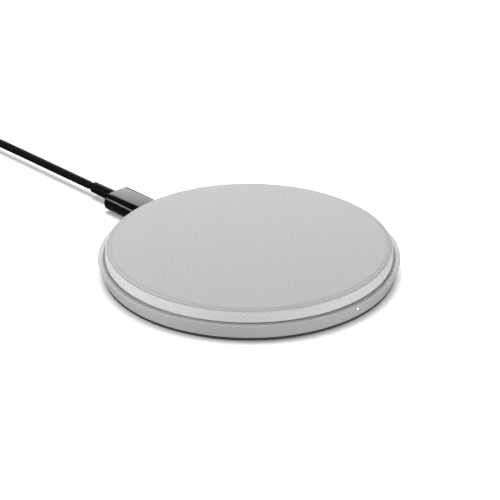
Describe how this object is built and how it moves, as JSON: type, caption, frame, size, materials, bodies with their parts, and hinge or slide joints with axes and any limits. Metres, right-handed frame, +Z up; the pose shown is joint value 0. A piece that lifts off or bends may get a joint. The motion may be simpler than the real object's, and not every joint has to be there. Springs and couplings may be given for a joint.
{
  "type": "wireless charging pad",
  "caption": "Round low wireless charging pad with a woven top, a tapered metal rim, a status light and a plug-in cable whose spare length is coiled and tied.",
  "frame": {"origin": "on the pad's axis, at the surface the pad stands on", "axes": "+Z up through the charging surface, +Y towards the cable socket, -Y towards the status light"},
  "size_m": [0.1, 0.2552, 0.0132],
  "materials": {
    "woven_fabric": "fine grey-white weave",
    "rim_metal": "fine bead-blasted, clear anodised, bright cut edges",
    "seal": "matt dark grey",
    "base_plastic": "matt black, fine spark texture",
    "inner_plastic": "matt grey",
    "foot_rubber": "matt silicone",
    "steel": "bright plated",
    "board": "green solder mask",
    "copper": "enamelled litz wire",
    "ferrite": "sintered, dark grey",
    "component": "black moulded",
    "ceramic": "tan ceramic",
    "light": "clear, lit white",
    "plug_plastic": "satin black",
    "cable_jacket": "satin black jacket",
    "tie_strap": "black hook-and-loop strap"
  },
  "bodies": {
    "pad": {"fabric_cover": "woven_fabric", "top_plate": "inner_plastic", "seal_ring": "seal", "outer_ring": "rim_metal", "base_shell": "base_plastic", "foot_ring": "foot_rubber", "case_screw_1": "steel", "case_screw_2": "steel", "case_screw_3": "steel", "case_screw_4": "steel", "circuit_board": "board", "board_screw_1": "steel", "board_screw_2": "steel", "board_screw_3": "steel", "coil_winding": "copper", "coil_inner_lead": "copper", "coil_outer_lead": "copper", "ferrite_disc": "ferrite", "winding_tray": "inner_plastic", "temperature_sensor": "component", "socket_shell": "steel", "socket_tongue": "component", "status_led": "light", "light_guide": "light", "controller_chip": "component", "coil_driver": "component", "port_controller": "component", "power_inductor": "component", "tuning_capacitor_1": "ceramic", "tuning_capacitor_2": "ceramic", "tuning_capacitor_3": "ceramic", "tuning_capacitor_4": "ceramic"},
    "cable": {"plug_body": "plug_plastic", "plug_shell": "steel", "plug_insert": "component", "plug_strain_relief": "cable_jacket", "cord_lead": "cable_jacket", "cord_coil": "cable_jacket", "coil_tie": "tie_strap", "cord_tail": "cable_jacket", "usb_a_strain_relief": "cable_jacket", "usb_a_body": "plug_plastic", "usb_a_shell": "steel", "usb_a_insert": "component"}
  },
  "joints": [
    {"name": "plug_pull", "type": "slide", "parent": "pad", "child": "cable", "axis": [0, 1, 0], "range_m": [0, 0.012]}
  ]
}
